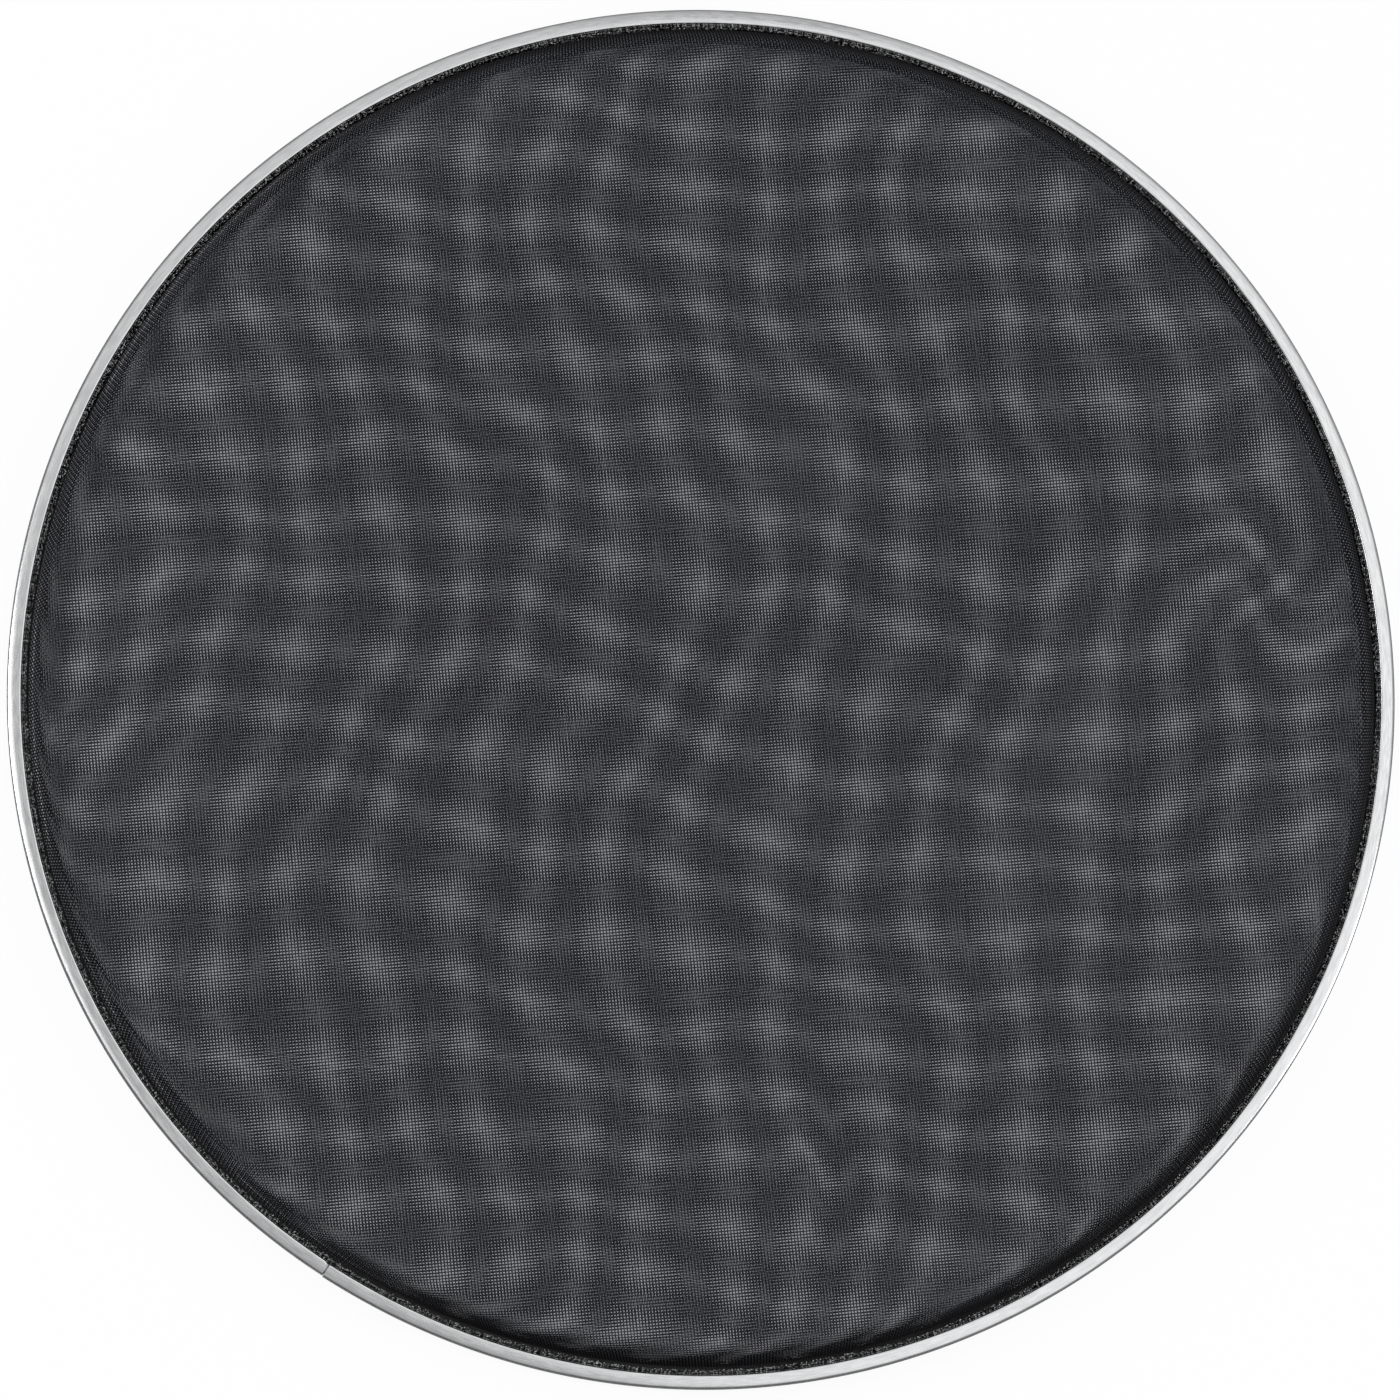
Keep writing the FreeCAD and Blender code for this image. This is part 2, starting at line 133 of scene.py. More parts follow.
class ShaderTree:
    """The nodes of one material or of the world."""

    def __init__(self, owner: Union[bpy.types.Material, bpy.types.World]) -> None:
        """Takes over the owner's node tree and empties it.

        Args:
            owner: The material or the world.
        """
        owner.use_nodes = True
        self.owner = owner
        self.nodes = owner.node_tree.nodes
        self.links = owner.node_tree.links
        self.nodes.clear()

    def node(self, kind: str, settings: Optional[dict] = None, sockets: Optional[dict] = None,
             out: Union[int, str] = 0) -> Port:
        """Makes one node.

        Args:
            kind: The node's type.
            settings: Its properties, set before its sockets.
            sockets: A value or a Port for each input, by name or number.
            out: The output to hand back.

        Returns:
            The chosen output.
        """
        made = self.nodes.new(kind)
        for name, value in (settings or {}).items():
            setattr(made, name, value)
        for key, value in (sockets or {}).items():
            if isinstance(value, Port):
                self.links.new(value.socket, made.inputs[key])
            else:
                made.inputs[key].default_value = value
        return Port(self, made.outputs[out] if len(made.outputs) else None)

    def object_place(self) -> tuple[Port, Port, Port]:
        """The three Object coordinates of the point that is shaded."""
        place = self.node("ShaderNodeTexCoord", out="Object")
        return tuple(self.node("ShaderNodeSeparateXYZ", {}, {0: place}, axis) for axis in range(3))

    def round_place(self) -> tuple[Port, Port, Port, Port]:
        """The same coordinates, and the point's distance from the head's upright axis."""
        x, y, z = self.object_place()
        return x, y, z, (x * x + y * y).math("SQRT")

    def noise(self, vector: Port, scale: float, detail: float) -> Port:
        """Soft noise from 0 to 1 at a place."""
        return self.node("ShaderNodeTexNoise", {}, {"Vector": vector, "Scale": scale, "Detail": detail})

    def place_noise(self, scale: float, detail: float) -> Port:
        """Soft noise from 0 to 1 over the Object coordinates."""
        return self.noise(self.node("ShaderNodeTexCoord", out="Object"), scale, detail)

    def round_noise(self, count: float, fineness: float, detail: float) -> Port:
        """Noise drawn out round the upright axis, with no seam in its round.

        Args:
            count: Its scale round the axis, over a run of one radius.
            fineness: Its scale across that, over a metre.
            detail: Its octaves.

        Returns:
            The noise, from 0 to 1.
        """
        x, y, z, radius = self.round_place()
        place = {0: x / radius * count, 1: y / radius * count, 2: (radius + z) * fineness}
        return self.noise(self.node("ShaderNodeCombineXYZ", {}, place), 1.0, detail)

    def mix(self, share: Port, first: Value, second: Value) -> Port:
        """Mixes two colours, share being the second one's."""
        return self.node("ShaderNodeMix", {"data_type": "RGBA"}, {0: share, 6: first, 7: second}, 2)

    def attribute(self, name: str, out: str) -> Port:
        """Reads an attribute that the piece carries."""
        return self.node("ShaderNodeAttribute", {"attribute_name": name}, {}, out)

    def surface(self, sockets: dict) -> None:
        """Ends the tree in a Principled shader with these sockets."""
        shader = self.node("ShaderNodeBsdfPrincipled", {}, sockets)
        self.node("ShaderNodeOutputMaterial", {}, {0: shader})


def solid(colour: Colour) -> tuple[float, float, float, float]:
    """A colour as a socket takes it."""
    return (*colour, 1.0)


def new_tree(name: str) -> ShaderTree:
    """Starts a material of that name."""
    return ShaderTree(bpy.data.materials.new(name))


@dataclass(frozen=True)
class BrushedAluminium:
    """Bare aluminium strip, brushed along its length and dulled by handling.

    Its band has a painted highlight along the inner edge and painted shade where it was rolled over at the
    outer one.
    """

    name: str = "brushed_aluminium"
    bright: Colour = (0.68, 0.685, 0.69)
    dull: Colour = (0.545, 0.55, 0.56)
    inner_highlight: Colour = (0.77, 0.77, 0.765)
    # The rolled colour is painted shade on the outer bend, standing for a dark reflection there.
    rolled: Colour = (0.40, 0.40, 0.41)
    roughness: float = 0.12
    roughness_spread: float = 0.16
    streaks_round: float = 46.0
    streaks_per_metre: float = 2800.0
    smears_round: float = 30.0
    smears_per_metre: float = 600.0
    streak_share: float = 0.6
    wear_limits: Limits = (0.32, 0.68)
    nicks_round: float = 420.0
    nicks_per_metre: float = 1700.0
    nick_limits: Limits = (0.70, 0.80)
    nick_depth: float = 0.4
    nick_roughness: float = 0.10
    grain_depth: float = 0.012 * MM
    grain_strength: float = 0.55
    highlight_radius: float = 182.0 * MM
    highlight_width: float = 0.45 * MM
    rim_shade_radii: Limits = (185.3 * MM, 185.8 * MM)
    rim_shade_heights: Limits = (7.9 * MM, 8.6 * MM)

    def material(self) -> bpy.types.Material:
        """Builds the finish.

        Returns:
            The material.
        """
        tree = new_tree(self.name)
        _, _, z, radius = tree.round_place()
        grain = tree.round_noise(self.streaks_round, self.streaks_per_metre, detail=3.0)
        smear = tree.round_noise(self.smears_round, self.smears_per_metre, detail=2.0)
        nick = tree.round_noise(self.nicks_round, self.nicks_per_metre, detail=1.0).ramp(*self.nick_limits)
        worn = grain * self.streak_share + smear * (1.0 - self.streak_share)
        brushed = tree.mix(worn.ramp(*self.wear_limits), solid(self.dull), solid(self.bright))
        # Painted highlight along the band's inner edge.
        inner_highlight_share = (radius - self.highlight_radius).math("ABSOLUTE").ramp(0.0, self.highlight_width, 1.0, 0.0)
        # Painted shade on the outer bend, standing for the dark reflection there.
        bend = radius.ramp(*self.rim_shade_radii) * z.ramp(*self.rim_shade_heights)
        dulled = tree.mix(bend, brushed, solid(self.rolled))
        colour = tree.mix(inner_highlight_share, dulled, solid(self.inner_highlight))
        bump = tree.node("ShaderNodeBump", {}, {
            "Strength": self.grain_strength, "Distance": self.grain_depth,
            "Height": grain - nick * self.nick_depth})
        tree.surface({
            "Base Color": colour, "Metallic": 1.0, "Normal": bump,
            "Roughness": worn * self.roughness_spread + nick * self.nick_roughness + self.roughness})
        return tree.owner


@dataclass(frozen=True)
class DarkFilament:
    """Black plastic thread, lighter where dust lies, with painted highlights on its knuckles.

    Painted shade makes it deep black down the collar. At one side that shade is lighter, so the collar
    keeps more of its light, and painted glints sit on its fold. The limits of that side are cosines of
    the bearing, -1 being the head's left. Those of the bend and of the collar shade are radii.
    """

    name: str
    valley: Colour
    tone_and_highlight: Colour
    dust: Colour
    collar_highlight: Colour
    # The deep colour is the painted shade down the collar.
    deep: Colour = (0.004, 0.004, 0.005)
    glint: Colour = (0.80, 0.80, 0.82)
    bend: Limits = (172.0 * MM, 177.0 * MM)
    knuckle: float = 0.70
    collar_knuckle: float = 2.0
    even: float = 0.22
    collar_even: float = -1.15
    thread_spread: float = 0.28
    dust_scale: float = 16.0
    dust_limits: Limits = (0.52, 0.80)
    dust_share: float = 0.22
    collar_shade_radii: Limits = (175.0 * MM, 179.6 * MM)
    collar_shade_strength: float = 0.90
    kept_side: Limits = (-0.35, -0.75)
    kept_light: float = 0.6
    fold_radius: float = 178.9 * MM
    fold_width: float = 0.42 * MM
    fold_gain: float = 1.6
    patch_scale: float = 34.0
    patch_limits: Limits = (0.40, 0.55)
    roughness: float = 0.60
    specular: float = 0.16

    def material(self) -> bpy.types.Material:
        """Builds the finish.

        Returns:
            The material.
        """
        tree = new_tree(self.name)
        cloth = tree.attribute(CLOTH, "Vector")
        warp, weft, side = (tree.node("ShaderNodeSeparateXYZ", {}, {0: cloth}, i) for i in range(3))
        # Alternate crossings, where the thread rides over, get a painted highlight.
        over = ((warp + weft) * math.pi).math("COSINE") * (1.0 - side * 2.0)
        shade = tree.attribute(SHADE, "Fac") - 0.5
        x, _, _, radius = tree.round_place()
        bent = radius.ramp(*self.bend)
        # On the collar the painted knuckle highlights grow sharper and brighter.
        contrast = bent * (self.collar_knuckle - self.knuckle) + self.knuckle
        level = bent * (self.collar_even - self.even) + self.even
        lift = over * contrast + shade * self.thread_spread + level
        haze = tree.place_noise(self.dust_scale, detail=3.0).ramp(*self.dust_limits, 0.0, self.dust_share)
        tone_and_highlight = tree.mix(bent, solid(self.tone_and_highlight), solid(self.collar_highlight))
        thread = tree.mix(lift, solid(self.valley), tone_and_highlight)
        dusty = tree.mix(haze, thread, solid(self.dust))
        # Painted shade darkens the thread down the collar, less of it on the kept side.
        kept = (x / radius).ramp(*self.kept_side)
        collar_shade = radius.ramp(*self.collar_shade_radii, 0.0, self.collar_shade_strength) * (1.0 - kept * self.kept_light)
        collar_shaded = tree.mix(collar_shade, dusty, solid(self.deep))
        # Painted glints on the knuckles along the collar's fold.
        fold = (radius - self.fold_radius).math("ABSOLUTE").ramp(0.0, self.fold_width, 1.0, 0.0)
        patchy = tree.place_noise(self.patch_scale, detail=1.0).ramp(*self.patch_limits)
        sparkle = fold * kept * patchy * lift * self.fold_gain
        tree.surface({
            "Base Color": tree.mix(sparkle, collar_shaded, solid(self.glint)),
            "Roughness": self.roughness,
            "Specular IOR Level": self.specular})
        return tree.owner


@dataclass(frozen=True)
class FrayedEnds:
    """Cut thread ends, dark at the foot and pale at some of the tips, partly whitened ends and partly
    painted highlights.
    """

    name: str = "frayed_ends"
    foot: Colour = (0.010, 0.010, 0.011)
    tip: Colour = (0.83, 0.835, 0.85)
    foot_height: float = 7.4 * MM
    tip_height: float = 9.2 * MM
    scuff_and_glint_power: float = 1.5
    roughness: float = 0.62
    gloss: float = 0.15

    def material(self) -> bpy.types.Material:
        """Builds the finish.

        Returns:
            The material.
        """
        tree = new_tree(self.name)
        z = tree.object_place()[2]
        # Pale tips: partly whitened cut ends, partly painted highlights where the ends catch the light.
        scuff_and_glint = tree.attribute(SHADE, "Fac") ** self.scuff_and_glint_power
        share = z.ramp(self.foot_height, self.tip_height) * scuff_and_glint
        tree.surface({
            "Base Color": tree.mix(share, solid(self.foot), solid(self.tip)),
            "Roughness": self.roughness - share * self.gloss})
        return tree.owner


@dataclass(frozen=True)
class DrawnSteel:
    """Steel with the fine lines of drawing or shearing and a few spots of tarnish."""

    name: str
    clean: Colour
    tarnish: Colour
    roughness: float
    roughness_spread: float = 0.2
    lines_round: float = 40.0
    lines_per_metre: float = 9000.0
    spot_scale: float = 900.0
    spot_limits: Limits = (0.55, 0.72)

    def material(self) -> bpy.types.Material:
        """Builds the finish.

        Returns:
            The material.
        """
        tree = new_tree(self.name)
        lines = tree.round_noise(self.lines_round, self.lines_per_metre, detail=2.0)
        spots = tree.place_noise(self.spot_scale, detail=3.0).ramp(*self.spot_limits)
        tree.surface({
            "Base Color": tree.mix(spots, solid(self.clean), solid(self.tarnish)),
            "Metallic": 1.0,
            "Roughness": (lines + spots) * self.roughness_spread + self.roughness})
        return tree.owner


@dataclass(frozen=True)
class CuredAdhesive:
    """Dark cured adhesive with a rippled, half glossy skin, its colours darkened further as painted shade
    in the groove.
    """

    name: str = "cured_adhesive"
    deep: Colour = (0.003, 0.003, 0.003)
    pale: Colour = (0.007, 0.007, 0.007)
    pale_limits: Limits = (0.35, 0.70)
    ripple_scale: float = 700.0
    ripple_depth: float = 0.2 * MM
    ripple_strength: float = 0.6
    roughness: float = 0.40
    roughness_spread: float = 0.3

    def material(self) -> bpy.types.Material:
        """Builds the finish.

        Returns:
            The material.
        """
        tree = new_tree(self.name)
        ripple = tree.place_noise(self.ripple_scale, detail=3.0)
        bump = tree.node("ShaderNodeBump", {}, {
            "Strength": self.ripple_strength, "Distance": self.ripple_depth, "Height": ripple})
        tree.surface({
            "Base Color": tree.mix(ripple.ramp(*self.pale_limits), solid(self.deep), solid(self.pale)),
            "Roughness": ripple * self.roughness_spread + self.roughness, "Normal": bump})
        return tree.owner


@dataclass(frozen=True)
class PaleFloor:
    """A plain white floor that takes shadow, with painted shadow that makes it dimmer through the mesh and
    as the hoop mirrors it.

    The painted shade next to the hoop, the cover of the head and the mirrored floor have radii as their
    limits.
    The painted shade lies further in at one side, whose limits are cosines of the bearing, -1 being the
    left.
    """

    name: str = "pale_floor"
    seen: Colour = (0.96, 0.965, 0.975)
    bounce: Colour = (0.26, 0.26, 0.265)
    through_mesh: Colour = (0.92, 0.945, 1.0)
    covered_glow: float = 0.195
    hoop_glow: float = 0.05
    open_glow: float = 0.92
    shade: Limits = (172.0 * MM, 178.0 * MM)
    shade_side: Limits = (-0.35, -0.90)
    shade_aside: float = 3.5 * MM
    cover: Limits = (184.5 * MM, 186.5 * MM)
    mirror: Limits = (205.0 * MM, 300.0 * MM)

    def material(self) -> bpy.types.Material:
        """Builds the finish.

        Returns:
            The material.
        """
        tree = new_tree(self.name)
        rays = ("Is Camera Ray", "Is Glossy Ray", "Is Transmission Ray")
        camera, mirrored, through = (tree.node("ShaderNodeLightPath", out=ray) for ray in rays)
        x, _, _, radius = tree.round_place()
        shown = camera + (mirrored + through) * radius.ramp(*self.mirror)
        # Mirrored near the hoop, the floor takes the dark bounce colour: a painted shadow in the hoop's
        # reflection.
        colour = tree.mix(shown, solid(self.bounce), solid(self.seen))
        matt = tree.node("ShaderNodeBsdfDiffuse", {}, {"Color": colour})
        opened = radius.ramp(*self.cover)
        tint = tree.mix(opened, solid(self.through_mesh), WHITE)
        lit = tree.node("ShaderNodeEmission", {}, {"Color": tint, "Strength": 1.0})
        # Painted shadow under the head, deeper next to the hoop and further in at the left.
        inside = radius + (x / radius).ramp(*self.shade_side) * self.shade_aside
        covered = inside.ramp(*self.shade, self.covered_glow, self.hoop_glow)
        glow = opened * (self.open_glow - covered) + covered
        shader = tree.node("ShaderNodeMixShader", {}, {0: shown * glow, 1: matt, 2: lit})
        tree.node("ShaderNodeOutputMaterial", {}, {0: shader})
        return tree.owner


def make_piece(bm: bmesh.types.BMesh, name: str, material: bpy.types.Material,
               crease: float = 30.0) -> bpy.types.Object:
    """Turns a bmesh into a piece in the scene.

    Args:
        bm: The shape, freed here.
        name: The piece's name.
        material: Its finish.
        crease: The angle in degrees from which an edge shows as sharp.

    Returns:
        The piece, at the origin.
    """
    for edge in bm.edges:
        edge.smooth = edge.calc_face_angle(0.0) < math.radians(crease)
    for face in bm.faces:
        face.smooth = True
    mesh = bpy.data.meshes.new(name)
    bm.to_mesh(mesh)
    bm.free()
    mesh.materials.append(material)
    piece = bpy.data.objects.new(name, mesh)
    bpy.context.scene.collection.objects.link(piece)
    return piece


def report(piece: bpy.types.Object) -> None:
    """Logs a piece's name and how many triangles it has."""
    piece.data.calc_loop_triangles()
    log.info("%s: %d triangles", piece.name, len(piece.data.loop_triangles))


def mount_piece(piece: bpy.types.Object, slot: str, *nodes: str) -> bpy.types.Object:
    """Lets a piece ride on the head and stand for its CAD nodes.

    Args:
        piece: The finished piece.
        slot: The record's material slot; not used.
        nodes: The CAD nodes that it stands for.

    Returns:
        The same piece.
    """
    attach(piece, BODY)
    if nodes:
        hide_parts(*nodes)
    report(piece)
    return piece


@dataclass
class Hoop:
    """The hoop: one aluminium strip rolled to an S section, bent round and butted.

    Sizes are in millimetres and angles in degrees. The worn corner starts at the worn foot's height, and
    the cuts give its curve points to follow, at those distances from the joint.
    """

    bore_radius: float = 178.6
    strip: float = 0.7
    inside_bend: float = 0.15
    sheared_corner: float = 0.06
    height: float = 9.5
    lip_top: float = 8.5
    groove: float = 2.5
    band: float = 4.2
    crown_width: float = 1.8
    crown_fall: float = 0.165
    crown_bend: float = 0.30
    joint_bearing: float = 237.1
    joint_gap: float = 0.4
    steps: int = 600
    end_step: float = 0.13
    end_step_length: float = 14.0
    end_step_reach: float = 84.0
    worn_corner: float = 0.55
    worn_length: float = 1.9
    worn_foot: float = 7.5
    worn_cuts: tuple[float, ...] = (0.35, 0.75, 1.2, 1.7)
    worn_reach: float = 4.5
    crease: float = 32.0
    finish: BrushedAluminium = field(default_factory=BrushedAluminium)

    @property
    def groove_wall(self) -> float:
        """Radius of the groove's outer wall, which is the band's inner edge."""
        return self.bore_radius + self.strip + self.groove

    @property
    def outer_radius(self) -> float:
        """Radius of the outer wall."""
        return self.groove_wall + self.band

    def corners(self) -> list[tuple[float, float]]:
        """Corners of the strip's section, from the outer wall's foot round to it again.

        Returns:
            The radius and height of each.
        """
        wall, outer, thick = self.groove_wall, self.outer_radius, self.strip
        lip = self.bore_radius + thick
        return [
            (outer, 0.0), (outer, self.height - self.crown_fall), (outer - self.crown_width, self.height),
            (wall, self.height), (wall, thick),
            (lip, thick), (lip, self.lip_top), (self.bore_radius, self.lip_top), (self.bore_radius, 0.0),
            (wall + thick, 0.0), (wall + thick, self.height - thick),
            (outer - thick, self.height - thick), (outer - thick, 0.0)]

    def section(self) -> bmesh.types.BMesh:
        """The rounded section as one face in the plane of X and Z.

        Returns:
            A bmesh with that face.
        """
        bm = bmesh.new()
        ring = [bm.verts.new((radius * MM, 0.0, height * MM)) for radius, height in self.corners()]
        bm.faces.new(ring)
        outside_bend = self.inside_bend + self.strip
        # Each kind of corner has its rounding, its segments and its numbers in the ring.
        for bend, segments, turned in (
            (outside_bend, 6, (1, 3, 8, 9)),
            (self.inside_bend, 2, (4, 5, 10, 11)),
            (self.crown_bend, 3, (2,)),
            (self.sheared_corner, 1, (0, 6, 7, 12)),
        ):
            bmesh.ops.bevel(
                bm, geom=[ring[i] for i in turned], offset=bend * MM, offset_type="OFFSET",
                affect="VERTICES", segments=segments, profile=0.5, material=-1)
        return bm

    def past_joint(self, place: Vector) -> float:
        """How far round the hoop from its joint a place lies.

        Args:
            place: A place on the hoop, in metres.

        Returns:
            The distance in millimetres, positive after the joint and negative before it.
        """
        bearing = math.degrees(math.atan2(place.y, place.x)) - self.joint_bearing
        turn = (bearing + 180.0) % 360.0 - 180.0
        return math.radians(turn) * place.xy.length / MM

    def finish_ends(self, bm: bmesh.types.BMesh) -> None:
        """Sets the two ends a little out of line and wears the inner corner of one.

        Args:
            bm: The hoop, changed here.
        """
        for back in self.worn_cuts:
            angle = math.radians(self.joint_bearing) - back / self.outer_radius
            near = [
                face for face in bm.faces
                if -self.worn_reach < self.past_joint(face.calc_center_median()) < 0.0]
            rim = {e for f in near for e in f.edges} | {v for f in near for v in f.verts}
            bmesh.ops.bisect_plane(
                bm, geom=[*near, *rim], dist=ON_PLANE, plane_co=(0.0, 0.0, 0.0),
                plane_no=(-math.sin(angle), math.cos(angle), 0.0))
        edge = self.groove_wall + self.strip + self.inside_bend
        for vert in bm.verts:
            past = self.past_joint(vert.co)
            if abs(past) > self.end_step_reach:
                continue
            radius = vert.co.xy.length / MM
            move = math.copysign(self.end_step, past) * math.exp(-abs(past) / self.end_step_length)
            if -self.worn_length < past < 0.0 and radius < edge and vert.co.z > self.worn_foot * MM:
                move += self.worn_corner * (1.0 + past / self.worn_length) ** 2
            vert.co.xy *= (radius + move) / radius

    def build(self) -> bpy.types.Object:
        """Spins the section round from end to end of the strip.

        Returns:
            The hoop piece.
        """
        bm = self.section()
        gap = self.joint_gap / self.outer_radius
        start = math.radians(self.joint_bearing) + gap / 2
        bmesh.ops.rotate(bm, verts=bm.verts[:], cent=(0, 0, 0), matrix=Matrix.Rotation(start, 3, "Z"))
        bmesh.ops.spin(
            bm, geom=[*bm.verts, *bm.edges, *bm.faces], cent=(0, 0, 0), axis=(0, 0, 1),
            angle=2 * math.pi - gap, steps=self.steps, use_merge=False)
        self.finish_ends(bm)
        bmesh.ops.recalc_face_normals(bm, faces=bm.faces[:])
        piece = make_piece(bm, "hoop_strip", self.finish.material(), self.crease)
        return mount_piece(piece, "hoop_aluminium", "hoop")


@dataclass
class Collar:
    """The head's face along a radius: flat, then bent down a slope into the groove. In millimetres."""

    playing_height: float = 18.5
    leg_radius: float = 180.0
    slope: float = math.radians(62.0)
    bend_radius: float = 7.0
    root_radius: float = 2.0
    root_height: float = 9.9
    foot_height: float = 5.2
    bend_runs: int = 5

    @property
    def slope_length(self) -> float:
        """Length of the straight slope.

        Returns:
            What the two bends leave of the fall, along the slope.
        """
        fall = self.playing_height - self.root_height
        fall -= self.bend_radius * (1.0 - math.cos(self.slope)) + self.root_radius * math.cos(self.slope)
        return fall / math.sin(self.slope)

    @property
    def flat_radius(self) -> float:
        """Radius at which the flat face starts to bend."""
        drawn_in = self.bend_radius * math.sin(self.slope) + self.slope_length * math.cos(self.slope)
        return self.leg_radius - drawn_in - self.root_radius * (1.0 - math.sin(self.slope))

    def breaks(self) -> np.ndarray:
        """Distances over the cloth from the middle at which a thread bends, from its foot inwards.

        Returns:
            The distances.
        """
        bend = self.bend_radius * self.slope
        slope_end = bend + self.slope_length
        root_end = slope_end + self.root_radius * (math.pi / 2 - self.slope)
        foot = root_end + self.root_height - self.foot_height
        below = np.array([foot, root_end, slope_end])
        return self.flat_radius + np.append(below, np.linspace(bend, 0.0, self.bend_runs + 1))

    def crowding(self, reach: np.ndarray) -> np.ndarray:
        """How far over the bend points of the cloth lie, from 0 on the flat face to 1 on the slope."""
        return np.clip((reach - self.flat_radius) / (self.bend_radius * self.slope), 0.0, 1.0)

    def drape(self, x: np.ndarray, y: np.ndarray, level: np.ndarray) -> np.ndarray:
        """Lays points of flat cloth over the collar.

        Args:
            x: The points' places on flat cloth, left to right.
            y: The same, front to back.
            level: Their heights over the face.

        Returns:
            Their places on the head, in metres.
        """
        reach, bearing = np.hypot(x, y), np.arctan2(y, x)
        run = np.maximum(reach - self.flat_radius, 0.0)
        bent = np.clip(run / self.bend_radius, 0.0, self.slope)
        run = np.maximum(run - self.bend_radius * self.slope, 0.0)
        slid = np.minimum(run, self.slope_length)
        run = np.maximum(run - self.slope_length, 0.0)
        rooted = np.clip(run / self.root_radius, 0.0, math.pi / 2 - self.slope)
        fallen = np.maximum(run - self.root_radius * (math.pi / 2 - self.slope), 0.0)
        tilt = bent + rooted
        radius = (
            np.minimum(reach, self.flat_radius) + self.bend_radius * np.sin(bent)
            + slid * math.cos(self.slope)
            + self.root_radius * (np.sin(self.slope + rooted) - math.sin(self.slope))
            + level * np.sin(tilt))
        height = (
            self.playing_height - self.bend_radius * (1.0 - np.cos(bent)) - slid * math.sin(self.slope)
            - self.root_radius * (math.cos(self.slope) - np.cos(self.slope + rooted)) - fallen
            + level * np.cos(tilt))
        return np.stack([radius * np.cos(bearing), radius * np.sin(bearing), height], axis=-1) * MM


@dataclass(frozen=True)
class Ripple:
    """A long wave in the pull on a ply: its length, bearing and phase, and the pull on each thread set.

    Lengths and pulls are in millimetres, angles in degrees.
    """

    length: float
    bearing: float
    phase: float
    warp: float = 0.0
    weft: float = 0.0

    def pull(self, x: np.ndarray, y: np.ndarray) -> tuple[np.ndarray, np.ndarray]:
        """Finds the pull at places on the head.

        Args:
            x: The places, left to right.
            y: The same, front to back.

        Returns:
            The pull on the warp and on the weft.
        """
        bearing = math.radians(self.bearing)
        run = x * math.cos(bearing) + y * math.sin(bearing)
        wave = np.sin(run * 2.0 * math.pi / self.length + math.radians(self.phase))
        return self.warp * wave, self.weft * wave


@dataclass(frozen=True)
class Dent:
    """A spot where a ply is drawn together: its place, its spread and its pull, in millimetres."""

    x: float
    y: float
    spread_x: float
    spread_y: float
    warp: float = 0.0
    weft: float = 0.0

    def pull(self, x: np.ndarray, y: np.ndarray) -> tuple[np.ndarray, np.ndarray]:
        """Finds the pull at places on the head.

        Args:
            x: The places, left to right.
            y: The same, front to back.

        Returns:
            The pull on the warp and on the weft.
        """
        right, back = (x - self.x) / self.spread_x, (y - self.y) / self.spread_y
        near = np.exp(-0.5 * (right * right + back * back))
        return self.warp * right * near, self.weft * back * near


@dataclass
class Lay:
    """How a ply lies on the head: its turn in degrees, its slide in millimetres and its pulls."""

    turn: float
    slide: tuple[float, float] = (0.0, 0.0)
    pulls: tuple[Union[Ripple, Dent], ...] = ()
    settle_rounds: int = 5

    def place(self, across: np.ndarray, along: np.ndarray) -> tuple[np.ndarray, np.ndarray]:
        """Finds where points of the cloth lie on the head's plane.

        Args:
            across: The points' places over the warp threads.
            along: The points' places over the weft threads.

        Returns:
            Their places left to right and front to back.
        """
        turn = math.radians(self.turn)
        u, v = across, along
        for _ in range(self.settle_rounds):
            x = u * math.cos(turn) - v * math.sin(turn)
            y = u * math.sin(turn) + v * math.cos(turn)
            u, v = across - self.slide[0], along - self.slide[1]
            for source in self.pulls:
                warp, weft = source.pull(x, y)
                u, v = u - warp, v - weft
        return x, y


class ThreadSet(Enum):
    """The two sets of threads in a woven ply, with their heights over its middle in millimetres."""

    WARP = 0.045
    WEFT = -0.045


